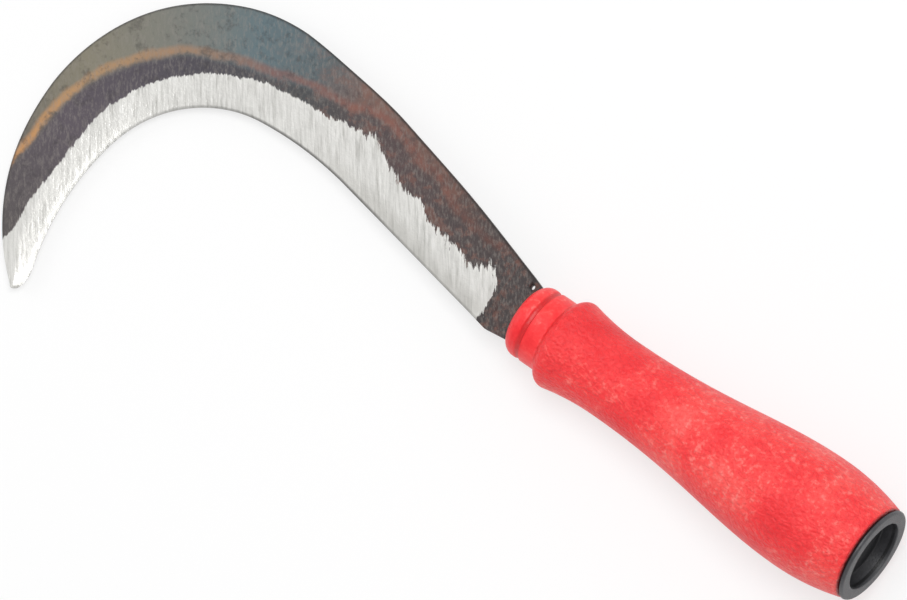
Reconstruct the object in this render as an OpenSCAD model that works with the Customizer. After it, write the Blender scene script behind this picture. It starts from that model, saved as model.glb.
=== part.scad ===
// Billhook: a forged one-piece hook blade, peened through a moulded plastic handle.
// The origin is the middle of the end cap's rim. +X runs along the handle to the blade,
// +Y points to the cutting side of the hook, and +Z stands square to the blade's flat.

/* [Handle] */
// Length of the handle with its end cap
handle_l = 140; // [130:1:155]
// Diameter where the handle meets the end cap
butt_d = 32.8; // [32:0.1:35]
// Diameter of the palm swell
swell_d = 39.7; // [37:0.1:43]
// Distance of the palm swell from the butt
swell_x = 25.4; // [22:0.2:30]
// Length over which the swell keeps its fullness towards the waist
swell_run = 25; // [16:0.5:30]
// Diameter of the waist
waist_d = 27; // [25.6:0.1:29]
// Distance of the waist behind the nose
waist_back = 36.5; // [33:0.5:40]
// Length over which the waist stays slim towards the swell
waist_run = 36; // [24:0.5:40]
// Diameter of the shoulder that stops the hand
shoulder_d = 31.1; // [30:0.1:34]
// Distance of the shoulder's crest behind the nose
shoulder_back = 17.3; // [16.2:0.1:19]
// Rounding of the shoulder's crest
shoulder_r = 3.8; // [3:0.1:4.2]
// Fillet between the shoulder and the neck
neck_fillet = 1.6; // [1:0.1:2.4]
// Diameter of the neck
neck_d = 24.9; // [24:0.1:26]
// Diameter of the bead round the nose
bead_d = 24.8; // [24:0.1:26]
// Rounding of the bead towards the front face
nose_r = 4; // [3:0.1:4.4]
// Distance of the groove behind the front face
groove_back = 6.4; // [6:0.1:7]
// Width of the groove behind the bead
groove_w = 1.6; // [1:0.1:2]
// Depth of the groove below the bead
groove_depth = 0.7; // [0.4:0.05:1]

/* [Inside the handle] */
// Depth of the hollow, from the butt to the washer's seat
hollow_l = 52; // [44:1:60]
// Diameter of the hollow at the washer's seat
hollow_d = 22; // [20.5:0.5:24]
// Draft of the hollow, as the gain in diameter up to the end cap
hollow_draft = 1; // [0:0.1:2]
// Diameter of the washer
washer_d = 18; // [16:0.5:20]
// Thickness of the washer
washer_t = 2; // [1.5:0.1:3]

/* [End cap] */
// Thickness of the rim that covers the butt
rim_t = 1.8; // [1.4:0.1:2.4]
// Rounding of the rim's outer edge
rim_round = 1; // [0.5:0.1:1.1]
// Diameter of the cap's skirt inside the handle
skirt_d = 28.8; // [28:0.1:29.4]
// Length of the skirt behind the rim
skirt_l = 8; // [6.5:0.5:12]
// Thickness of the skirt and of the recessed floor
skirt_wall = 1.2; // [1:0.1:1.6]
// Diameter of the recess at the rim
recess_d = 23.6; // [21:0.2:25]
// Depth of the recess
recess_depth = 3.6; // [2.4:0.1:4.4]
// Draft of the recess's wall, as the loss of radius down to its floor
recess_draft = 0.8; // [0.2:0.1:1.6]

/* [Blade] */
// Thickness at the heel
blade_t = 3; // [2.6:0.1:4]
// Thickness at the beak
beak_t = 2.2; // [1.8:0.1:2.5]
// Width of the ricasso where it enters the collar
ricasso_w = 19.8; // [18:0.2:21]
// Offset of the ricasso from the handle's axis, towards the spine
ricasso_off = 0.5; // [0:0.1:1]
// Depth of the blade's shoulder in the collar
seat_l = 13; // [10:0.5:15]
// Distance of the heel corner in front of the collar
heel_x = 8.4; // [6.5:0.5:12]
// Distance of the heel corner from the handle's axis
heel_y = 10.4; // [9.6:0.1:12]
// Angle at which the edge drops away from the handle's axis at the heel
heel_drop = 10.5; // [6:0.1:15]
// Length of the straight stretch of the edge
straight_l = 66.7; // [55:0.1:80]
// Radius of the sweep that follows the straight
sweep_r = 124.6; // [100:0.1:160]
// Turn of the sweep
sweep_turn = 16.5; // [10:0.5:22]
// Radius of the hook's bend
hook_r = 42.7; // [38:0.1:52]
// Turn of the hook's bend
hook_turn = 70.9; // [60:0.1:80]
// Radius of the arm that ends in the beak
arm_r = 87.6; // [75:0.1:110]
// Turn of the arm
arm_turn = 30.4; // [24:0.1:36]
// Length of the rounded nose past the end of the edge
nose_l = 8.3; // [6:0.1:11]
// Set-back of the nose's tip from the line of the edge
nose_set = 4.2; // [3:0.1:5.6]
// Width of the blunt tip
tip_w = 0.7; // [0.5:0.1:1.2]

/* [Blade widths] */
// Width at the heel
heel_w = 22.6; // [20.5:0.1:25]
// Width half way along the straight
mid_w = 26; // [24:0.1:29]
// Width at the end of the straight
root_w = 27.8; // [26:0.1:31]
// Width in the middle of the sweep
sweep_w = 28.8; // [27:0.1:32]
// Width at a quarter of the hook's bend
crown_w = 33.4; // [31:0.1:36]
// Width in the middle of the hook's bend
hook_w = 33.5; // [31:0.1:36]
// Width at the end of the hook's bend
arm_root_w = 28.7; // [26:0.1:32]
// Width in the middle of the arm
arm_w = 21.5; // [19:0.1:24]
// Width where the nose starts
beak_w = 9.8; // [8.6:0.1:12]

/* [Grind] */
// Width of the ground bevel at the heel
grind_heel = 13; // [10:0.5:16]
// Width of the ground bevel half way along the straight
grind_mid = 11; // [9:0.5:15]
// Width of the ground bevel at the end of the straight
grind_root = 15.8; // [12:0.2:18]
// Width of the ground bevel round the hook's bend
grind_hook = 10.8; // [9:0.1:14]
// Width of the ground bevel along the arm
grind_arm = 8.3; // [7:0.1:11]
// Length over which the bevel runs out at the heel
run_out = 9; // [6:0.5:14]
// Thickness left at the edge
edge_t = 0.3; // [0.2:0.05:0.5]
// Width of the honed bevel along the edge
honed_w = 1; // [0.6:0.1:1.6]
// Thickness behind the honed bevel
honed_t = 0.9; // [0.7:0.1:1.2]
// Chamfer along the spine
spine_chamfer = 0.5; // [0.3:0.05:0.8]

/* [Tang] */
// Width of the tang at the blade's shoulder
tang_w = 12.6; // [10:0.2:15]
// Width of the tang at the washer
tang_end_w = 9; // [7:0.5:10]
// Thickness of the tang
tang_t = 2.4; // [2:0.1:2.5]
// Length of the peened head behind the washer
peen_l = 2.4; // [1.8:0.1:3]
// Width that peening adds all round the tang
peen_spread = 1.6; // [1:0.1:2]
// Diameter of the small hole near the spine
hole_d = 1.8; // [1.4:0.1:2.2]
// Distance of the small hole in front of the collar
hole_x = 2.9; // [2:0.1:3.4]
// Distance of the small hole inside the line of the ricasso
hole_in = 1.5; // [1.2:0.1:3]

/* [Clearances] */
// Clearance round the tang and the blade's shoulder
tang_clear = 0.15; // [0.1:0.05:0.25]
// Clearance round the end cap's skirt
cap_clear = 0.1; // [0.05:0.05:0.2]

/* [Hidden] */
overlap = 1;
arc_steps = 8;
curve_steps = 24;
edge_break = 0.4;
waist_x = handle_l - waist_back;
shoulder_x = handle_l - shoulder_back;
groove_x = handle_l - groove_back;
seat_x = handle_l - seat_l;
skirt_end = rim_t + skirt_l;
seat_r = skirt_d / 2 + cap_clear;
peen_x = hollow_l - washer_t - peen_l;

// The edge as parts of [radius, turn], or [0, length] for a straight
heel = [handle_l + heel_x, heel_y, -heel_drop];
edge = [[0, straight_l], [sweep_r, sweep_turn], [hook_r, hook_turn], [arm_r, arm_turn]];
sweep_l = part_l(edge[1]);
hook_l = part_l(edge[2]);
arm_l = part_l(edge[3]);
hook_s = straight_l + sweep_l;
arm_s = hook_s + hook_l;
nose_s = arm_s + arm_l;
tip_s = nose_s + nose_l;

// Distances along the edge at which the widths are set, and the widths there
marks = [0, straight_l / 2, straight_l, straight_l + sweep_l / 2, hook_s + hook_l / 4,
         hook_s + hook_l / 2, arm_s, arm_s + arm_l / 2, nose_s, tip_s];
widths = [heel_w, mid_w, root_w, sweep_w, crown_w, hook_w, arm_root_w, arm_w, beak_w,
          nose_set + tip_w];
grinds = [grind_heel, grind_mid, grind_root, (grind_root + grind_hook) / 2, grind_hook,
          grind_hook, (grind_hook + grind_arm) / 2, grind_arm, grind_arm, grind_arm];

// Length of one part of the edge
function part_l(p) = p[0] == 0 ? p[1] : p[0] * p[1] * PI / 180;

// Place and heading [x, y, degrees] at distance s along the part p that starts at q
function along(q, p, s) =
    p[0] == 0 ? [q[0] + s * cos(q[2]), q[1] + s * sin(q[2]), q[2]]
    : let (h = q[2] + s / p[0] * 180 / PI)
      [q[0] + p[0] * (sin(h) - sin(q[2])), q[1] + p[0] * (cos(q[2]) - cos(h)), h];

// Place and heading at distance s along the whole edge, which ends in a straight nose
function edge_at(s, q = heel, i = 0) =
    i == len(edge) ? along(q, [0, nose_l], s)
    : s <= part_l(edge[i]) ? along(q, edge[i], s)
    : edge_at(s - part_l(edge[i]), along(q, edge[i], part_l(edge[i])), i + 1);

// Smooth curve through the points (x[i], y[i]), with three-point slopes
function rise(x, y, i) = (y[i + 1] - y[i]) / (x[i + 1] - x[i]);
function slope(x, y, i) =
    i == 0 ? rise(x, y, 0)
    : i == len(x) - 1 ? rise(x, y, i - 1)
    : let (a = x[i] - x[i - 1], b = x[i + 1] - x[i])
      (rise(x, y, i - 1) * b + rise(x, y, i) * a) / (a + b);
function smooth(x, y, s, i = 0) =
    s > x[i + 1] && i < len(x) - 2 ? smooth(x, y, s, i + 1)
    : let (d = x[i + 1] - x[i], t = (s - x[i]) / d)
      y[i] * (1 + 2 * t) * (1 - t) ^ 2 + slope(x, y, i) * d * t * (1 - t) ^ 2
      + y[i + 1] * t ^ 2 * (3 - 2 * t) - slope(x, y, i + 1) * d * t ^ 2 * (1 - t);

// One rib of the blade: ten points from the edge to the spine and back underneath.
// a and b are its ends, t its thickness, g its bevel's width, and k is 1 where it is ground.
function rib(a, b, t, g, k) =
    let (w = norm(b - a), u = (b - a) / w,
         h = min(honed_w, w / 5), c = min(spine_chamfer, w / 5), f = min(g, w * 3 / 5),
         ze = t / 2 + (edge_t / 2 - t / 2) * k, zh = t / 2 + (honed_t / 2 - t / 2) * k,
         half = [[0, ze], [h, zh], [f, t / 2], [w - c, t / 2], [w, t / 2 - c]])
    concat([for (p = half) [a[0] + u[0] * p[0], a[1] + u[1] * p[0], p[1]]],
           [for (i = [4:-1:0]) let (p = half[i]) [a[0] + u[0] * p[0], a[1] + u[1] * p[0], -p[1]]]);

// Thickness, set-back of the edge and depth of grinding at distance s along the edge
function taper(s) = blade_t + (beak_t - blade_t) * s / tip_s;
function set_back(s) = s <= nose_s ? 0 : nose_set * (1 - sqrt(max(0, 1 - ((s - nose_s) / nose_l) ^ 2)));
function ground(s) = s >= run_out ? 1 : sin(90 * s / run_out) ^ 2;
function edge_rib(s) =
    let (e = edge_at(s), n = [sin(e[2]), -cos(e[2])], p = [e[0], e[1]])
    rib(p + n * set_back(s), p + n * smooth(marks, widths, s), taper(s),
        smooth(marks, grinds, s), ground(s));

// A skin over equal ribs, closed by the first and the last
module loft(ribs) {
    n = len(ribs[0]);
    m = len(ribs);
    skin = [for (i = [0:m - 2], j = [0:n - 1])
            let (a = i * n + j, b = i * n + (j + 1) % n, c = a + n, d = b + n)
            each [[a, c, b], [b, c, d]]];
    first = [for (j = [0:n - 1]) j];
    last = [for (j = [n - 1:-1:0]) (m - 1) * n + j];
    polyhedron([for (r = ribs) each r], concat([first, last], skin), convexity = 6);
}

// Hook blade with its ricasso, the tang behind it and the peened head on the tang's end
module blade() {
    low = -ricasso_w / 2 - ricasso_off;
    high = ricasso_w / 2 - ricasso_off;
    seat_ribs = [for (x = [seat_x, handle_l]) rib([x, high], [x, low], blade_t, grind_heel, 0)];
    stations = concat(
        [for (i = [0:arc_steps - 1]) run_out * i / arc_steps],
        [for (i = [0:arc_steps - 1]) run_out + (straight_l - run_out) * i / arc_steps],
        [for (i = [0:arc_steps - 1]) straight_l + sweep_l * i / arc_steps],
        [for (i = [0:curve_steps - 1]) hook_s + hook_l * i / curve_steps],
        [for (i = [0:curve_steps - 1]) arm_s + arm_l * i / curve_steps],
        [for (i = [0:arc_steps]) nose_s + nose_l * sin(90 * i / arc_steps)]);
    color([0.62, 0.62, 0.62]) {
        difference() {
            loft(concat(seat_ribs, [for (s = stations) edge_rib(s)]));
            translate([handle_l + hole_x, low + hole_in, 0])
                cylinder(d = hole_d, h = blade_t + 2 * overlap, center = true, $fn = 32);
        }
        linear_extrude(height = tang_t, center = true)
            polygon([[peen_x, tang_end_w / 2], [hollow_l, tang_end_w / 2],
                     [seat_x, tang_w / 2], [seat_x + overlap, tang_w / 2],
                     [seat_x + overlap, -tang_w / 2], [seat_x, -tang_w / 2],
                     [hollow_l, -tang_end_w / 2], [peen_x, -tang_end_w / 2]]);
        peened_head();
    }
}

// Oval head of the peened tang, domed in two steps, flat against the washer
module peened_head() {
    wide = tang_end_w / 2;
    translate([peen_x, 0, 0]) rotate([0, 90, 0]) {
        oval(wide, tang_t / 2 + peen_spread / 2, peen_l);
        translate([0, 0, peen_l / 2]) oval(wide, tang_t / 2 + peen_spread, peen_l / 2);
    }
}

// Prism along Z with round ends: half_l from its middle to each end's centre, radius r
module oval(half_l, r, h) {
    linear_extrude(height = h) {
        square([2 * r, 2 * half_l], center = true);
        for (side = [-1, 1]) translate([0, side * half_l]) circle(r = r, $fn = 32);
    }
}

// Points of an arc about c from angle a to angle b, as [radius, distance along the handle]
function arc(c, r, a, b, n = arc_steps) =
    [for (i = [0:n]) let (t = a + (b - a) * i / n) c + r * [cos(t), sin(t)]];

// Outline of the handle from the butt to the front face, as [radius, distance along it]
function handle_outline() =
    let (butt = butt_d / 2, swell = swell_d / 2, waist = waist_d / 2, crest = shoulder_d / 2,
         neck = neck_d / 2, bead = bead_d / 2,
         // arc from the butt that is level at the swell
         rise_x = swell_x - rim_t, rise_r = swell - butt,
         butt_arc = (rise_x ^ 2 + rise_r ^ 2) / (2 * rise_r),
         // flare from the waist, touching the round crest of the shoulder
         crest_c = crest - shoulder_r, flare_x = shoulder_x - waist_x, drop = waist - crest_c,
         flare = (flare_x ^ 2 + drop ^ 2 - shoulder_r ^ 2) / (2 * (shoulder_r - drop)),
         flare_a = atan2(flare_x, flare + drop),
         // fillet that touches the crest and the neck
         fillet_r = neck + neck_fillet - crest_c,
         fillet_x = sqrt((shoulder_r + neck_fillet) ^ 2 - fillet_r ^ 2),
         fillet_a = atan2(fillet_x, fillet_r))
    concat(
        [[butt - edge_break, rim_t]],
        [for (i = [0:arc_steps]) let (x = rise_x - (rise_x - edge_break) * (1 - i / arc_steps))
            [swell - butt_arc + sqrt(butt_arc ^ 2 - (rise_x - x) ^ 2), rim_t + x]],
        [for (i = [1:curve_steps]) let (t = i / curve_steps, a = (1 - t) ^ 3, b = 3 * (1 - t) ^ 2 * t,
             c = 3 * (1 - t) * t ^ 2, d = t ^ 3)
            [swell * (a + b) + waist * (c + d), swell_x * (a + b) + swell_run * b
             + waist_x * (c + d) - waist_run * c]],
        [for (i = [1:arc_steps]) let (a = flare_a * i / arc_steps)
            [waist + flare * (1 - cos(a)), waist_x + flare * sin(a)]],
        arc([crest_c, shoulder_x], shoulder_r, -flare_a, fillet_a),
        arc([neck + neck_fillet, shoulder_x + fillet_x], neck_fillet, 180 + fillet_a, 180, arc_steps / 2),
        [[neck, groove_x - groove_w / 2], [bead - groove_depth, groove_x]],
        arc([bead - groove_w / 2, groove_x + groove_w], groove_w / 2, -60, 0, arc_steps / 2),
        arc([bead - nose_r, handle_l - nose_r], nose_r, 0, 90));

// Moulded handle: slot for the blade's shoulder, channel for the tang and hollow for the washer
module handle() {
    outline = concat([[0, rim_t]], handle_outline(), [[0, handle_l]]);
    wide = tang_w / 2 + tang_clear;
    narrow = tang_end_w / 2 + tang_clear;
    color([0.92, 0.2, 0.22])
    difference() {
        rotate([0, 90, 0]) rotate_extrude($fn = 96) polygon(outline);
        translate([seat_x, -ricasso_off, 0]) slot(seat_l + overlap, ricasso_w, blade_t);
        linear_extrude(height = tang_t + 2 * tang_clear, center = true)
            polygon([[hollow_l - overlap, narrow], [hollow_l, narrow], [seat_x, wide],
                     [seat_x + overlap, wide], [seat_x + overlap, -wide], [seat_x, -wide],
                     [hollow_l, -narrow], [hollow_l - overlap, -narrow]]);
        translate([skirt_end, 0, 0]) rotate([0, 90, 0])
            cylinder(d1 = hollow_d + hollow_draft, d2 = hollow_d, h = hollow_l - skirt_end, $fn = 64);
        translate([rim_t - overlap, 0, 0]) rotate([0, 90, 0])
            cylinder(r = seat_r, h = skirt_l + overlap + cap_clear, $fn = 64);
    }
}

// Rectangular slot from x = 0 with the tang's clearance all round
module slot(l, w, t) {
    translate([0, -w / 2 - tang_clear, -t / 2 - tang_clear])
        cube([l, w + 2 * tang_clear, t + 2 * tang_clear]);
}

// Steel washer on the bottom of the hollow, which the tang passes through
module tang_washer() {
    color([0.7, 0.71, 0.73])
    difference() {
        translate([hollow_l - washer_t, 0, 0]) rotate([0, 90, 0])
            cylinder(d = washer_d, h = washer_t, $fn = 64);
        translate([hollow_l - washer_t - overlap, 0, 0])
            slot(washer_t + 2 * overlap, tang_end_w, tang_t);
    }
}

// Plug with a round-edged rim over the butt, a skirt in the handle and a recessed face
module end_cap() {
    rim = butt_d / 2;
    skirt = skirt_d / 2;
    mouth = recess_d / 2;
    floor_r = mouth - recess_draft;
    bore = skirt - skirt_wall;
    cap = concat(
        [[0, recess_depth]],
        arc([floor_r - recess_draft, recess_depth - recess_draft], recess_draft, 90, 0),
        arc([mouth + edge_break, edge_break], edge_break, 180, 270, arc_steps / 2),
        arc([rim - rim_round, rim_round], rim_round, -90, 0),
        [[rim, rim_t - edge_break], [rim - edge_break, rim_t], [skirt, rim_t],
         [skirt, skirt_end - 1], [skirt - edge_break, skirt_end], [bore, skirt_end],
         [bore, recess_depth + skirt_wall], [0, recess_depth + skirt_wall]]);
    color([0.17, 0.17, 0.18]) rotate([0, 90, 0]) rotate_extrude($fn = 96) polygon(cap);
}

blade();
handle();
tang_washer();
end_cap();
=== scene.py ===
import math

import bmesh
import bpy
from mathutils import Matrix, Vector
from mathutils.kdtree import KDTree


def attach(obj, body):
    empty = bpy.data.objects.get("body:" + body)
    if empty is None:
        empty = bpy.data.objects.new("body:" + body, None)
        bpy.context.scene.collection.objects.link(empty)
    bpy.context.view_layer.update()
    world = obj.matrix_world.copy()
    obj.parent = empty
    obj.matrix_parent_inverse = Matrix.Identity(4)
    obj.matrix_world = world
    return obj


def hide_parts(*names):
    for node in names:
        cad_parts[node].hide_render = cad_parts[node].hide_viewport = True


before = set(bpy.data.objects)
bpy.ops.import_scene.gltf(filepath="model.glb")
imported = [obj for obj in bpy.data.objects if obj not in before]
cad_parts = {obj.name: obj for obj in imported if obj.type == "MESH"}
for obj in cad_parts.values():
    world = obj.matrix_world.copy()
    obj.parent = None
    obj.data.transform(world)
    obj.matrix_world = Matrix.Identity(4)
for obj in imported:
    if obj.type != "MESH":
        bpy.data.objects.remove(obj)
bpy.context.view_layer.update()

# Camera: it stands six metres off, at the photograph's viewing angle. The handle's axis falls
# to the right in the picture, so the picture's right and down are turned in the tool's plane.
MM = 0.001
view_angle = math.radians(19.3)
roll = math.atan2(0.56750, 0.82337)
focal_px = 19066.2
image_px = 907
camera_place = Vector((-1820.468, 8.547, 5662.806)) * MM
along_handle = Vector((-math.cos(view_angle), 0, -math.sin(view_angle)))
across_handle = Vector((0, 1, 0))
forward = Vector((math.sin(view_angle), 0, -math.cos(view_angle)))
right = along_handle * math.cos(roll) - across_handle * math.sin(roll)
down = along_handle * math.sin(roll) + across_handle * math.cos(roll)
lens = bpy.data.cameras.new("camera")
lens.sensor_width = 36
lens.lens = focal_px / image_px * lens.sensor_width
lens.clip_start = 0.1
lens.clip_end = 50
camera = bpy.data.objects.new("camera", lens)
bpy.context.scene.collection.objects.link(camera)
turn = Matrix((right, -down, -forward)).transposed()
camera.matrix_world = Matrix.Translation(camera_place) @ turn.to_4x4()
bpy.context.scene.camera = camera

# Blade: one forging of carbon steel, tempered dark, with a bright bevel ground on both faces.
# Its edge is a straight and three arcs from heel to beak, and its ricasso enters the handle.
# Sizes are in mm, with the values of the part's source.
handle_l, seat_l = 140, 13
ricasso_w, ricasso_off = 19.8, 0.5
blade_t, beak_t = 3, 2.2
edge_t, honed_w, honed_t, spine_chamfer = 0.3, 1, 0.9, 0.5
heel = (148.4, 10.4, math.radians(-10.5))
edge_parts = ((0, 66.7), (124.6, 16.5), (42.7, 70.9), (87.6, 30.4))
nose_l, nose_set, tip_w = 8.3, 4.2, 0.7
run_out = 9
hole_d, hole_x, hole_in = 1.8, 2.9, 1.5
bevel_steps, body_steps = 4, 5
heel_steps, sweep_steps, hook_steps, nose_steps = 8, 40, 100, 16


def part_l(part):
    return part[1] if part[0] == 0 else part[0] * math.radians(part[1])


straight_l, sweep_l, bend_l, arm_l = [part_l(part) for part in edge_parts]
bend_s = straight_l + sweep_l
arm_s = bend_s + bend_l
nose_s = arm_s + arm_l
tip_s = nose_s + nose_l
marks = (0, straight_l / 2, straight_l, straight_l + sweep_l / 2, bend_s + bend_l / 4,
         bend_s + bend_l / 2, arm_s, arm_s + arm_l / 2, nose_s, tip_s)
widths = (22.6, 26, 27.8, 28.8, 33.4, 33.5, 28.7, 21.5, 9.8, nose_set + tip_w)
grinds = (13, 11, 15.8, 13.3, 10.8, 10.8, 9.55, 8.3, 8.3, 8.3)


def along(start, part, s):
    """Place and heading at distance s along a part of the edge"""
    x, y, h = start
    if part[0] == 0:
        return x + s * math.cos(h), y + s * math.sin(h), h
    end = h + s / part[0]
    x += part[0] * (math.sin(end) - math.sin(h))
    y += part[0] * (math.cos(h) - math.cos(end))
    return x, y, end


def edge_at(s):
    """Place and heading at distance s along the whole edge, which ends in a straight nose"""
    start = heel
    for part in edge_parts:
        if s <= part_l(part):
            return along(start, part, s)
        start = along(start, part, part_l(part))
        s -= part_l(part)
    return along(start, (0, nose_l), s)


def smooth(xs, ys, x):
    """Smooth curve through the points of xs and ys"""
    i = max(0, min(len(xs) - 2, sum(1 for v in xs[1:] if v < x)))
    rise = [(ys[j + 1] - ys[j]) / (xs[j + 1] - xs[j]) for j in range(len(xs) - 1)]

    def slope(j):
        if j == 0 or j == len(xs) - 1:
            return rise[min(j, len(rise) - 1)]
        a, b = xs[j] - xs[j - 1], xs[j + 1] - xs[j]
        return (rise[j - 1] * b + rise[j] * a) / (a + b)

    d = xs[i + 1] - xs[i]
    t = (x - xs[i]) / d
    return (ys[i] * (1 + 2 * t) * (1 - t) ** 2 + slope(i) * d * t * (1 - t) ** 2
            + ys[i + 1] * t ** 2 * (3 - 2 * t) - slope(i + 1) * d * t ** 2 * (1 - t))


def rib_loop(bm, edge, spine, t, grind, sharp):
    """One closed rib as a loop of edges. Sharp is 0 for a square edge and 1 for a ground one."""
    w = (spine - edge).length
    u = (spine - edge) / w
    honed, chamfer, ground = min(honed_w, w / 5), min(spine_chamfer, w / 5), min(grind, w * 3 / 5)
    z_edge = t / 2 + (edge_t / 2 - t / 2) * sharp
    z_honed = t / 2 + (honed_t / 2 - t / 2) * sharp
    half = [(0, z_edge), (honed, z_honed)]
    for i in range(1, bevel_steps + 1):
        half.append((honed + (ground - honed) * i / bevel_steps,
                     z_honed + (t / 2 - z_honed) * i / bevel_steps))
    for i in range(1, body_steps + 1):
        half.append((ground + (w - chamfer - ground) * i / body_steps, t / 2))
    half.append((w, t / 2 - chamfer))
    ring = half + [(p, -z) for p, z in reversed(half)]
    verts = [bm.verts.new(((edge.x + u.x * p) * MM, (edge.y + u.y * p) * MM, z * MM)) for p, z in ring]
    return [bm.edges.new((verts[i], verts[(i + 1) % len(verts)])) for i in range(len(verts))]


def linked(name, mesh):
    """A new object of the scene that holds the mesh"""
    obj = bpy.data.objects.new(name, mesh)
    bpy.context.scene.collection.objects.link(obj)
    return obj


def finished(name, bm, smooth_angle=30):
    """An object from a bmesh, with outward normals and smooth faces up to that angle"""
    bmesh.ops.recalc_face_normals(bm, faces=bm.faces)
    mesh = bpy.data.meshes.new(name)
    bm.to_mesh(mesh)
    bm.free()
    mesh.shade_smooth()
    mesh.set_sharp_from_angle(angle=math.radians(smooth_angle))
    return linked(name, mesh)


def cut(obj, cutter):
    """Takes the cutter's solid out of the object's mesh"""
    knife = obj.modifiers.new("cut", "BOOLEAN")
    knife.operation = "DIFFERENCE"
    knife.solver = "EXACT"
    knife.object = cutter
    shape = bpy.data.meshes.new_from_object(obj.evaluated_get(bpy.context.evaluated_depsgraph_get()))
    obj.modifiers.clear()
    obj.data = shape
    bpy.data.objects.remove(cutter)


bm = bmesh.new()
low, high = -ricasso_w / 2 - ricasso_off, ricasso_w / 2 - ricasso_off
loops = [rib_loop(bm, Vector((x, high)), Vector((x, low)), blade_t, grinds[0], 0)
         for x in (handle_l - seat_l, handle_l)]
stations = [run_out * i / heel_steps for i in range(heel_steps)]
stations += [run_out + (bend_s - run_out) * i / sweep_steps for i in range(sweep_steps)]
stations += [bend_s + (nose_s - bend_s) * i / hook_steps for i in range(hook_steps)]
stations += [nose_s + nose_l * math.sin(math.radians(90 * i / nose_steps))
             for i in range(nose_steps + 1)]
for s in stations:
    x, y, h = edge_at(s)
    edge_point = Vector((x, y))
    out = Vector((math.sin(h), -math.cos(h)))
    past_nose = max(0, s - nose_s) / nose_l
    set_in = nose_set * (1 - math.sqrt(max(0, 1 - past_nose ** 2)))
    sharp = math.sin(math.radians(90 * min(1, s / run_out))) ** 2
    t = blade_t + (beak_t - blade_t) * s / tip_s
    loops.append(rib_loop(bm, edge_point + out * set_in, edge_point + out * smooth(marks, widths, s),
                          t, smooth(marks, grinds, s), sharp))
for one, other in zip(loops, loops[1:]):
    bmesh.ops.bridge_loops(bm, edges=one + other)
bmesh.ops.contextual_create(bm, geom=loops[0])
bmesh.ops.contextual_create(bm, geom=loops[-1])
blade = finished("blade_forged", bm, 12)
drill = bmesh.new()
hole_place = Vector((handle_l + hole_x, low + hole_in, 0)) * MM
bmesh.ops.create_cone(drill, cap_ends=True, segments=32, radius1=hole_d / 2 * MM,
                      radius2=hole_d / 2 * MM, depth=blade_t * 2 * MM,
                      matrix=Matrix.Translation(hole_place))
cut(blade, finished("drill", drill))

# The tang narrows towards the butt, and its peened head lies on the washer, all inside the handle
hollow_l, washer_t, tang_t, peen_l = 52, 2, 2.4, 2.4
tang_w, tang_end_w, tang_lap = 12.6, 9, 1
head_w, head_t, head_round = 12.2, 5.6, 0.8
tang_back = hollow_l - washer_t - peen_l
tang_l = handle_l - seat_l + tang_lap - tang_back
bm = bmesh.new()
bm.from_mesh(blade.data)
tang = bmesh.ops.create_cube(bm, size=1)["verts"]
bmesh.ops.scale(bm, vec=Vector((tang_l, tang_w, tang_t)) * MM, verts=tang)
bmesh.ops.translate(bm, vec=Vector((tang_back + tang_l / 2, 0, 0)) * MM, verts=tang)
for v in tang:
    if v.co.x < handle_l / 2 * MM:
        v.co.y *= tang_end_w / tang_w
head = bmesh.ops.create_cube(bm, size=1)["verts"]
bmesh.ops.scale(bm, vec=Vector((peen_l, head_w, head_t)) * MM, verts=head)
bmesh.ops.translate(bm, vec=Vector((tang_back + peen_l / 2, 0, 0)) * MM, verts=head)
head_edges = list({e for v in head for e in v.link_edges})
bmesh.ops.bevel(bm, geom=head_edges, offset=head_round * MM, affect="EDGES", segments=3,
                profile=0.5, material=-1)
bm.to_mesh(blade.data)
bm.free()

# The colours follow these attributes: how far each point lies along the edge, from the edge and
# from the spine, past the end of the bright ground and past the temper line. The bright ground's
# width and the temper line's distance beyond it are measured at chosen places along the edge.
ground_s = (4, 5.2, 7, 10, 13.3, 18, 28, 37.6, 45, 54, 66, 73, 80, 95, 113, 137, 157.9, 170, 183.7,
            194.5, 200, 206, 212)
ground_w = (0, 7.5, 13, 15, 13.6, 11.2, 10.8, 11.4, 13.4, 13.5, 15.9, 16.4, 13.9, 12.3, 11, 10.4, 9.4,
            8.2, 9.6, 11, 15, 22, 30)
temper_s = (0, 70, 79, 95, 107, 115, 123, 137, 145, 162, 178, 212)
temper_w = (9, 8, 6.8, 5.5, 4.6, 5.5, 7, 9.5, 11, 12.6, 14, 15)
samples = 900
tree = KDTree(samples)
for i in range(samples):
    x, y, h = edge_at(tip_s * i / (samples - 1))
    tree.insert((x * MM, y * MM, 0), i)
tree.balance()
lanes = {name: [] for name in ("along_edge", "past_grind", "past_temper", "from_edge", "from_spine")}
for v in blade.data.vertices:
    spot, i, gap = tree.find((v.co.x, v.co.y, 0))
    s = tip_s * i / (samples - 1)
    if i == 0:
        s = min(0, v.co.x / MM - heel[0])
    if s < 0:
        gap = abs(high * MM - v.co.y)
    w = gap / MM
    width = smooth(marks, widths, s) if s > 0 else heel[1] - low
    ground = smooth(ground_s, ground_w, s) if s > ground_s[0] else s - ground_s[0]
    lanes["along_edge"].append(s)
    lanes["from_edge"].append(w)
    lanes["past_grind"].append(w - ground)
    lanes["past_temper"].append(w - ground - smooth(temper_s, temper_w, max(s, 0)))
    lanes["from_spine"].append(width - w)
for name, values in lanes.items():
    layer = blade.data.attributes.new(name, "FLOAT", "POINT")
    layer.data.foreach_set("value", values)


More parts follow.
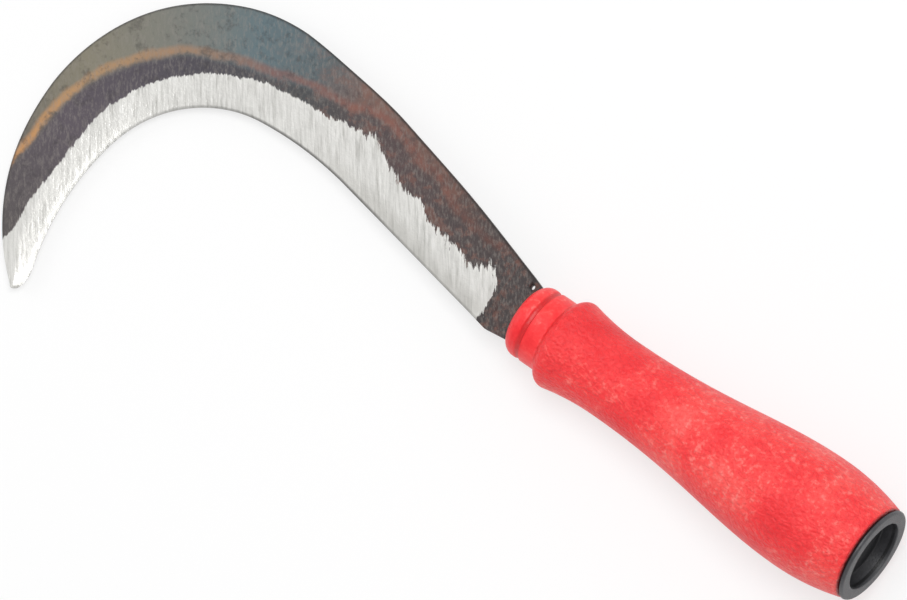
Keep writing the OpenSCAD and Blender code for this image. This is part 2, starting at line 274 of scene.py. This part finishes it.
# Materials: every piece below is painted with these two classes. A Paint holds one material and
# adds its nodes, and an expression on a Wire adds the Math nodes.
class Wire:
    """A socket in a material"""

    def __init__(self, paint, socket):
        self.paint = paint
        self.socket = socket

    def maths(self, operation, a, b):
        return self.paint.add("Math", {0: a, 1: b}, operation=operation)

    def __add__(self, other):
        return self.maths("ADD", self, other)

    def __radd__(self, other):
        return self.maths("ADD", other, self)

    def __sub__(self, other):
        return self.maths("SUBTRACT", self, other)

    def __rsub__(self, other):
        return self.maths("SUBTRACT", other, self)

    def __mul__(self, other):
        return self.maths("MULTIPLY", self, other)

    def __rmul__(self, other):
        return self.maths("MULTIPLY", other, self)


class Paint:
    """A material that is built up node by node"""

    def __init__(self, name):
        self.material = bpy.data.materials.new(name)
        self.material.use_nodes = True
        self.tree = self.material.node_tree
        self.tree.nodes.clear()

    def add(self, kind, inputs=None, output=0, **settings):
        """Adds a node with its settings, then its inputs, and returns one of its outputs"""
        node = self.tree.nodes.new("ShaderNode" + kind)
        for name, value in settings.items():
            setattr(node, name, value)
        for key, value in (inputs or {}).items():
            socket = node.inputs[key]
            if isinstance(value, Wire):
                self.tree.links.new(value.socket, socket)
            elif isinstance(value, tuple) and len(value) == 3 and socket.type == "RGBA":
                socket.default_value = (*value, 1)
            else:
                socket.default_value = value
        return Wire(self, node.outputs[output])

    def attribute(self, name):
        return self.add("Attribute", output="Fac", attribute_name=name)

    def place(self):
        return self.add("TexCoord", output="Object")

    def mapped(self, stretch, angle=0):
        """The place on the object, turned about Z and then drawn out by the stretches"""
        return self.add("Mapping", {"Vector": self.place(), "Rotation": (0, 0, angle), "Scale": stretch},
                        vector_type="TEXTURE")

    def noise(self, vector, scale, detail=3, roughness=0.5):
        return self.add("TexNoise", {"Vector": vector, "Scale": scale, "Detail": detail,
                                     "Roughness": roughness})

    def step(self, value, low_edge, high_edge):
        """0 below the low edge, 1 above the high edge, and smooth between"""
        return self.add("MapRange", {"Value": value, "From Min": low_edge, "From Max": high_edge},
                        interpolation_type="SMOOTHSTEP")

    def between(self, value, start, full, fade, end):
        """1 from full to fade, 0 before the start and past the end, and smooth between"""
        return self.step(value, start, full) * (1 - self.step(value, fade, end))

    def mix(self, factor, a, b):
        return self.add("Mix", {0: factor, 6: a, 7: b}, output=2, data_type="RGBA")

    def ramp(self, value, stops):
        """Colours along a value that runs from 0 to 1"""
        wire = self.add("ValToRGB", {"Fac": value})
        band = wire.socket.node.color_ramp
        for at, colour in stops[1:-1]:
            band.elements.new(at)
        for element, (at, colour) in zip(band.elements, stops):
            element.position = at
            element.color = (*colour, 1)
        return wire

    def bump(self, height, depth, normal=None):
        inputs = {"Height": height, "Strength": 1.0, "Distance": depth}
        if normal:
            inputs["Normal"] = normal
        return self.add("Bump", inputs, output="Normal")

    def finish(self, **inputs):
        shader = self.add("BsdfPrincipled", {k.replace("_", " "): v for k, v in inputs.items()})
        out = self.tree.nodes.new("ShaderNodeOutputMaterial")
        self.tree.links.new(shader.socket, out.inputs["Surface"])
        return self.material


def rgb(red, green, blue):
    """A colour as it looks on a screen, from 0 to 255, as the shader's linear values"""
    return tuple(c / 255 / 12.92 if c <= 10 else ((c / 255 + 0.055) / 1.055) ** 2.4
                 for c in (red, green, blue))


# Scratches, grit and the fingers of the bright ground's border all lean one way across the blade.
# Reach runs from 0 at the heel to 1 at the tip of the beak.
scratch_angle = math.atan2(0.589, 0.808)
colour_l = 212
steel = Paint("tempered_and_ground_steel")
reach = steel.attribute("along_edge") * (1 / colour_l)
past = steel.attribute("past_grind")
heat = steel.attribute("past_temper")
from_edge = steel.attribute("from_edge")
from_spine = steel.attribute("from_spine")
streak = steel.noise(steel.mapped((1, 16, 1), scratch_angle), 1100, 4, 0.65)
finger = steel.noise(steel.mapped((1, 9, 1), scratch_angle), 900, 4, 0.75)
lobe = steel.noise(steel.mapped((1, 4, 1), scratch_angle), 300, 2, 0.5)
grit = steel.noise(steel.mapped((1, 3, 1), scratch_angle), 1300, 3, 0.7)
cloud = steel.noise(steel.place(), 60, 5, 0.6)
mottle = steel.noise(steel.place(), 260, 4, 0.7)
speck = steel.noise(steel.place(), 500, 4, 0.7)

# The dark body starts at a ragged border, with its longest fingers at the heel
toothed = 3.2 + 6.5 * (1 - steel.step(reach, 0.34, 0.46)) + 9 * (1 - steel.step(reach, 0.06, 0.16))
ragged = past + (finger - 0.5) * toothed + (lobe - 0.5) * toothed * 0.5
dark = steel.step(ragged, -0.3, 0.3)

# Beyond the temper line the body is red-brown, then teal on the crown, olive and grey. Between the
# border and the line it is slate, and a straw-coloured band follows the line.
body = steel.ramp(reach + (cloud - 0.5) * 0.05,
                  ((0.0, rgb(56, 50, 50)), (0.12, rgb(70, 56, 54)), (0.27, rgb(104, 76, 68)),
                   (0.38, rgb(106, 84, 78)), (0.44, rgb(80, 90, 94)), (0.52, rgb(88, 106, 112)),
                   (0.6, rgb(112, 114, 108)), (0.7, rgb(124, 119, 103)), (0.82, rgb(100, 94, 86)),
                   (1.0, rgb(74, 70, 66))))
slate = steel.ramp(reach, ((0.0, rgb(56, 50, 50)), (0.3, rgb(78, 62, 62)), (0.45, rgb(66, 68, 70)),
                           (0.6, rgb(70, 66, 74)), (0.75, rgb(84, 76, 84)), (1.0, rgb(78, 74, 70))))
below = 1 - steel.step(heat + (cloud - 0.5) * 3, -3.2, 0.2)
body = steel.mix(below, body, slate)
drift = heat + (cloud - 0.5) * 4 + (mottle - 0.5) * 2.4
band = steel.between(drift, -2.2, -0.2, 0.3, 2.4)
band_colour = steel.ramp(reach, ((0.0, rgb(70, 46, 42)), (0.35, rgb(124, 78, 68)),
                                 (0.5, rgb(122, 84, 78)), (0.58, rgb(150, 116, 90)),
                                 (0.7, rgb(178, 136, 92)), (0.82, rgb(206, 148, 88)),
                                 (1.0, rgb(90, 80, 72))))
body = steel.mix(band * (0.45 + mottle * 0.5), body, band_colour)

# Rust near the heel, pits, pale grit, dark stains and a dark line along the spine
rust = steel.step(mottle, 0.5, 0.62) * (1 - steel.step(reach, 0.36, 0.56))
body = steel.mix(rust * 0.35, body, rgb(128, 84, 70))
pits = steel.step(speck, 0.2, 0.4) * 0.5 + 0.5
body = steel.mix(pits, rgb(64, 56, 54), body)
body = steel.mix(steel.step(grit, 0.42, 0.72) * 0.4, body, rgb(136, 130, 124))
body = steel.mix(steel.step(1 - mottle, 0.5, 0.7) * 0.45, body, rgb(52, 48, 50))
spine_line = 1 - steel.step(from_spine + (speck - 0.5) * 0.8, 0.2, 1.1)
body = steel.mix(spine_line * 0.7, body, rgb(40, 36, 36))

# The bright ground is scratched. Painted reflection shade greys it low on the straight and darkens a
# line at the honed edge.
bright = steel.ramp(streak, ((0.28, rgb(176, 175, 170)), (0.42, rgb(205, 204, 200)),
                             (0.55, rgb(219, 218, 214)), (0.75, rgb(232, 231, 228))))
# painted reflection shade: the ground is greyed low on the straight, towards the edge
low_reflection_shade = steel.step(from_edge * -1 + (cloud - 0.5) * 3, -7.5, -2) * (1 - steel.step(reach, 0.28, 0.42))
bright = steel.mix(low_reflection_shade * 0.45, bright, rgb(176, 174, 168))
# painted dark reflection as a line along the honed edge facet, with keen setting how dark it is along
# the blade
honed_edge_reflection = 1 - steel.step(from_edge, 0.3, 1.1)
keen = 0.45 + 0.4 * steel.between(reach, 0.15, 0.3, 0.42, 0.6)
bright = steel.mix(honed_edge_reflection * keen, bright, rgb(96, 95, 93))

forged_bump = steel.bump(speck * 0.5 + cloud * 0.8, 0.00025)
blade.data.materials.clear()
blade.data.materials.append(steel.finish(
    Base_Color=steel.mix(dark, bright, body), Metallic=0.3 + 0.15 * (1 - dark),
    Roughness=0.34 + 0.16 * dark + (speck - 0.5) * 0.15,
    Normal=steel.bump(streak * (1 - dark), 0.00008, forged_bump)))
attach(blade, "root")
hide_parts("blade")

# Handle: one red plastic moulding with a fine leather-like grain, turned to a palm swell, a waist,
# a shoulder, a neck and a grooved bead. The blade's ricasso enters a slot in its nose. Sizes are
# those of the part's source, but for a wider edge break at the cap, which shows the joint.
swell_x, swell_r, butt_r, rim_t = 25.4, 19.85, 16.4, 1.8
waist_x, waist_r, swell_run, waist_run = 103.5, 13.5, 25, 36
crest_x, crest_r, crest_round = 122.7, 15.55, 3.8
neck_r, neck_fillet = 12.45, 1.6
groove_x, groove_w, groove_depth, bead_r, nose_r = 133.6, 1.6, 0.7, 12.4, 4
skirt_end, seat_r, hollow_r, hollow_draft = 9.8, 14.5, 11, 0.5
joint_break, slot_gap = 0.7, 0.4
butt_steps, curve_steps, flare_steps = 20, 48, 16


def arc(x, r, radius, start, end, steps):
    """Points of an arc about (x, r), with angles from the handle's outward direction"""
    turns = [math.radians(start + (end - start) * i / steps) for i in range(steps + 1)]
    return [(x + radius * math.sin(a), r + radius * math.cos(a)) for a in turns]


rise_x, rise_r = swell_x - rim_t, swell_r - butt_r
butt_arc = (rise_x ** 2 + rise_r ** 2) / (2 * rise_r)
crest_c = crest_r - crest_round
flare_x, drop = crest_x - waist_x, waist_r - crest_c
flare = (flare_x ** 2 + drop ** 2 - crest_round ** 2) / (2 * (crest_round - drop))
flare_a = math.degrees(math.atan2(flare_x, flare + drop))
fillet_r = neck_r + neck_fillet - crest_c
fillet_x = math.sqrt((crest_round + neck_fillet) ** 2 - fillet_r ** 2)
fillet_a = math.degrees(math.atan2(fillet_x, fillet_r))
outline = [(hollow_l, 0), (hollow_l, hollow_r), (skirt_end, hollow_r + hollow_draft),
           (skirt_end, seat_r), (rim_t, seat_r)]
outline += arc(rim_t + joint_break, butt_r - joint_break, joint_break, -90, -10, 5)
for i in range(butt_steps + 1):
    x = joint_break + (rise_x - joint_break) * i / butt_steps
    outline.append((rim_t + x, swell_r - butt_arc + math.sqrt(butt_arc ** 2 - (rise_x - x) ** 2)))
for i in range(1, curve_steps + 1):
    t = i / curve_steps
    a, b, c, d = (1 - t) ** 3, 3 * (1 - t) ** 2 * t, 3 * (1 - t) * t ** 2, t ** 3
    outline.append((swell_x * (a + b) + swell_run * b + waist_x * (c + d) - waist_run * c,
                    swell_r * (a + b) + waist_r * (c + d)))
for i in range(1, flare_steps + 1):
    a = math.radians(flare_a * i / flare_steps)
    outline.append((waist_x + flare * math.sin(a), waist_r + flare * (1 - math.cos(a))))
outline += arc(crest_x, crest_c, crest_round, -flare_a, fillet_a, 16)[1:]
outline += arc(crest_x + fillet_x, neck_r + neck_fillet, neck_fillet, 180 + fillet_a, 180, 8)[1:]
outline += [(groove_x - groove_w / 2, neck_r), (groove_x - groove_w / 5, bead_r - groove_depth),
            (groove_x + groove_w / 5, bead_r - groove_depth)]
outline += arc(groove_x + groove_w, bead_r - groove_w / 2, groove_w / 2, -60, 0, 6)
outline += arc(handle_l - nose_r, bead_r - nose_r, nose_r, 0, 90, 14)
outline += [(handle_l, 0)]


def turned(name, points, steps=160):
    """A solid of revolution about the handle's axis, from points (distance along it, radius)"""
    shape = bmesh.new()
    verts = [shape.verts.new((x * MM, 0, r * MM)) for x, r in points]
    edges = [shape.edges.new(pair) for pair in zip(verts, verts[1:])]
    bmesh.ops.spin(shape, geom=verts + edges, cent=(0, 0, 0), axis=(1, 0, 0), angle=math.tau,
                   steps=steps, use_merge=True)
    bmesh.ops.remove_doubles(shape, verts=shape.verts, dist=1e-6)
    return finished(name, shape, 35)


handle = turned("handle_grip", outline)
slot_box = bmesh.new()
slot_size = Vector((2 * seat_l, ricasso_w + slot_gap, blade_t + slot_gap)) * MM
bmesh.ops.create_cube(slot_box, size=1)
bmesh.ops.scale(slot_box, vec=slot_size, verts=slot_box.verts)
bmesh.ops.translate(slot_box, vec=Vector((handle_l, -ricasso_off, 0)) * MM, verts=slot_box.verts)
cut(handle, finished("slot", slot_box))

# Red plastic: worn pale patches, and a cracked grain as far as the shoulder. Painted shade darkens
# it in the groove and along the joint with the cap.
red = Paint("grained_red_plastic")
crumple = red.noise(red.place(), 600, 2, 0.5)
grain = red.add("TexVoronoi", {"Vector": red.mapped((1.5, 1, 1)), "Scale": 620, "Randomness": 1},
                output="Distance", feature="DISTANCE_TO_EDGE")
fine = red.noise(red.place(), 1400, 3, 0.6)
patch = red.noise(red.place(), 45, 4, 0.55)
fleck = red.noise(red.place(), 520, 5, 0.65)
at_x = red.add("SeparateXYZ", {"Vector": red.place()}, output="X") * (1 / MM)
grained = 1 - red.step(at_x, crest_x + 2.8, crest_x + 4.8)
# painted shade: a darker red in the groove before the bead
groove_painted_shade = red.between(at_x, groove_x - 1.2, groove_x - 0.5, groove_x + 0.5, groove_x + 1.3)
# painted shade: a dark red in the gap along the joint with the cap
joint_painted_shade = 1 - red.step(at_x, rim_t + 0.1, rim_t + 0.8)
shade = red.ramp(patch + (fleck - 0.5) * 0.5, ((0.3, rgb(232, 30, 38)), (0.45, rgb(243, 46, 50)),
                                               (0.58, rgb(248, 66, 64)), (0.75, rgb(252, 96, 90))))
worn = red.step(fleck, 0.52, 0.68) * red.step(patch, 0.4, 0.56)
shade = red.mix(worn * 0.7, shade, rgb(250, 132, 124))
creased = (1 - red.step(grain, 0.0, 0.14)) * red.step(crumple, 0.42, 0.62) * grained
shade = red.mix(creased * 0.3, shade, rgb(206, 24, 34))
shade = red.mix(groove_painted_shade * 0.8, shade, rgb(196, 26, 30))
shade = red.mix(joint_painted_shade * 0.8, shade, rgb(60, 14, 16))
relief = (grain * 0.9 + crumple * 0.8 + fine * 0.4 + fleck * 0.9) * (0.15 + 0.85 * grained)
handle.data.materials.clear()
handle.data.materials.append(red.finish(Base_Color=shade, Roughness=0.42 + (fleck - 0.5) * 0.25,
                                        Normal=red.bump(relief, 0.0006)))
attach(handle, "root")
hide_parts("handle")

# End cap: a black plastic plug pushed into the hollow. Its rounded rim covers the butt. Its face is
# recessed inside the rim, deeper than in the part's source, to look as the photograph does.
rim_round, rim_break, mouth_r, mouth_round = 0.9, 0.8, 12.1, 0.4
recess_depth, recess_draft = 5.4, 0.5
skirt_r, skirt_wall, skirt_break, skirt_chamfer = 14.4, 1.2, 0.4, 1
floor_r = mouth_r - recess_draft
bore_r = skirt_r - skirt_wall
cap_line = [(recess_depth, 0)]
for turn in range(0, 91, 15):
    a = math.radians(turn)
    cap_line.append((recess_depth - recess_draft + recess_draft * math.cos(a),
                     floor_r - recess_draft + recess_draft * math.sin(a)))
for turn in range(0, 91, 15):
    a = math.radians(turn)
    cap_line.append((mouth_round - mouth_round * math.sin(a),
                     mouth_r + mouth_round - mouth_round * math.cos(a)))
for turn in range(0, 91, 10):
    a = math.radians(turn)
    cap_line.append((rim_round - rim_round * math.cos(a),
                     butt_r - rim_round + rim_round * math.sin(a)))
cap_line += [(rim_t - rim_break, butt_r), (rim_t, butt_r - rim_break), (rim_t, skirt_r),
             (skirt_end - skirt_chamfer, skirt_r), (skirt_end, skirt_r - skirt_break),
             (skirt_end, bore_r), (recess_depth + skirt_wall, bore_r), (recess_depth + skirt_wall, 0)]
cap = turned("end_cap_plug", cap_line)

# Black plastic: hazy, with a painted shadow line where the rim meets the handle and a painted shadow
# over the recess floor.
black = Paint("satin_black_plastic")
haze = black.noise(black.place(), 120, 4, 0.6)
pores = black.noise(black.place(), 1600, 3, 0.6)
tone = black.ramp(haze + (pores - 0.5) * 0.3, ((0.3, rgb(54, 54, 57)), (0.5, rgb(64, 64, 67)),
                                               (0.75, rgb(78, 78, 81))))
cap_x = black.add("SeparateXYZ", {"Vector": black.place()}, output="X") * (1 / MM)
# painted shadow: a near-black line in the gap where the rim meets the handle
rim_gap_shadow = black.between(cap_x, rim_t - 1, rim_t - 0.6, rim_t + 0.1, rim_t + 0.4)
# painted shadow: the rim's shadow darkens the whole recess floor
recess_floor_shadow = black.step(cap_x, recess_depth - 0.6, recess_depth - 0.1)
tone = black.mix(rim_gap_shadow * 0.85, tone, rgb(18, 18, 20))
tone = black.mix(recess_floor_shadow * 0.8, tone, rgb(20, 20, 22))
cap.data.materials.clear()
cap.data.materials.append(black.finish(Base_Color=tone, Roughness=0.4 + (haze - 0.5) * 0.3,
                                       Normal=black.bump(pores, 0.00012)))
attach(cap, "root")
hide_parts("end_cap")

# Tang washer: a pressed steel washer at the bottom of the handle's hollow, under the peened tang.
# It is the CAD node itself with a brushed finish, because nothing of it shows.
plain = Paint("pressed_steel")
brushed = plain.noise(plain.mapped((1, 1, 10)), 800, 3, 0.6)
washer_tone = plain.ramp(brushed, ((0.3, rgb(150, 150, 152)), (0.5, rgb(176, 176, 178)),
                                   (0.7, rgb(194, 194, 196))))
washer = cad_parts["tang_washer"]
washer.data.materials.clear()
washer.data.materials.append(plain.finish(Base_Color=washer_tone, Metallic=1.0,
                                          Roughness=0.35 + (brushed - 0.5) * 0.2))

# Floor: a plain white surface under the tool, which lies on its palm swell and its hook. It glows
# to the camera and in reflections, so that it looks white and still takes soft shadows.
floor_size, floor_gap, hook_x, hook_z = 6, 0.2, 314.9, -1.35
swell_low = Vector((swell_x, 0, -swell_r)) * MM
hook_low = Vector((hook_x, 0, hook_z)) * MM
floor_normal = (hook_low - swell_low).cross(Vector((0, 1, 0))).normalized()
if floor_normal.z < 0:
    floor_normal.negate()
tilt = Vector((0, 0, 1)).rotation_difference(floor_normal).to_matrix().to_4x4()
floor_place = Matrix.Translation(swell_low - floor_normal * floor_gap * MM)
floor_shape = bmesh.new()
bmesh.ops.create_grid(floor_shape, x_segments=8, y_segments=8, size=floor_size)
bmesh.ops.transform(floor_shape, matrix=floor_place @ tilt, verts=floor_shape.verts)
floor = finished("floor", floor_shape)
paper = Paint("white_floor")
seen = paper.add("LightPath", output="Is Camera Ray")
mirrored = paper.add("LightPath", output="Is Glossy Ray")
matte = paper.add("BsdfDiffuse", {"Color": (0.86, 0.86, 0.86)})
glow = paper.add("Emission", {"Color": (1.0, 1.0, 1.0), "Strength": 1.0})
glowing = paper.add("Math", {0: seen * 0.68 + mirrored * 0.4, 1: 1.0}, operation="MINIMUM")
surface = paper.add("MixShader", {0: glowing, 1: matte, 2: glow})
floor_out = paper.tree.nodes.new("ShaderNodeOutputMaterial")
paper.tree.links.new(surface.socket, floor_out.inputs["Surface"])
floor.data.materials.append(paper.material)

# Light: a white room with one broad soft lamp overhead and a weaker one at the picture's left,
# beyond the hook. Both face the middle of the tool, from offsets in metres.
room_strength = 0.55
world = bpy.data.worlds.new("room")
world.use_nodes = True
backdrop = world.node_tree.nodes["Background"]
backdrop.inputs["Color"].default_value = (1, 1, 1, 1)
backdrop.inputs["Strength"].default_value = room_strength
bpy.context.scene.world = world
aim = Vector((150, 10, 0)) * MM
lamps = (("overhead", (-0.25, -0.35, 1.5), 0.9, 15),
         ("left", (1.2, 0.3, 0.8), 0.8, 3))
for name, offset, size, watts in lamps:
    lamp = bpy.data.lights.new(name, "AREA")
    lamp.shape = "DISK"
    lamp.size = size
    lamp.energy = watts
    light = linked(name, lamp)
    light.location = aim + Vector(offset)
    light.rotation_euler = (aim - light.location).to_track_quat("-Z", "Y").to_euler()

bpy.context.scene.view_settings.view_transform = "Standard"
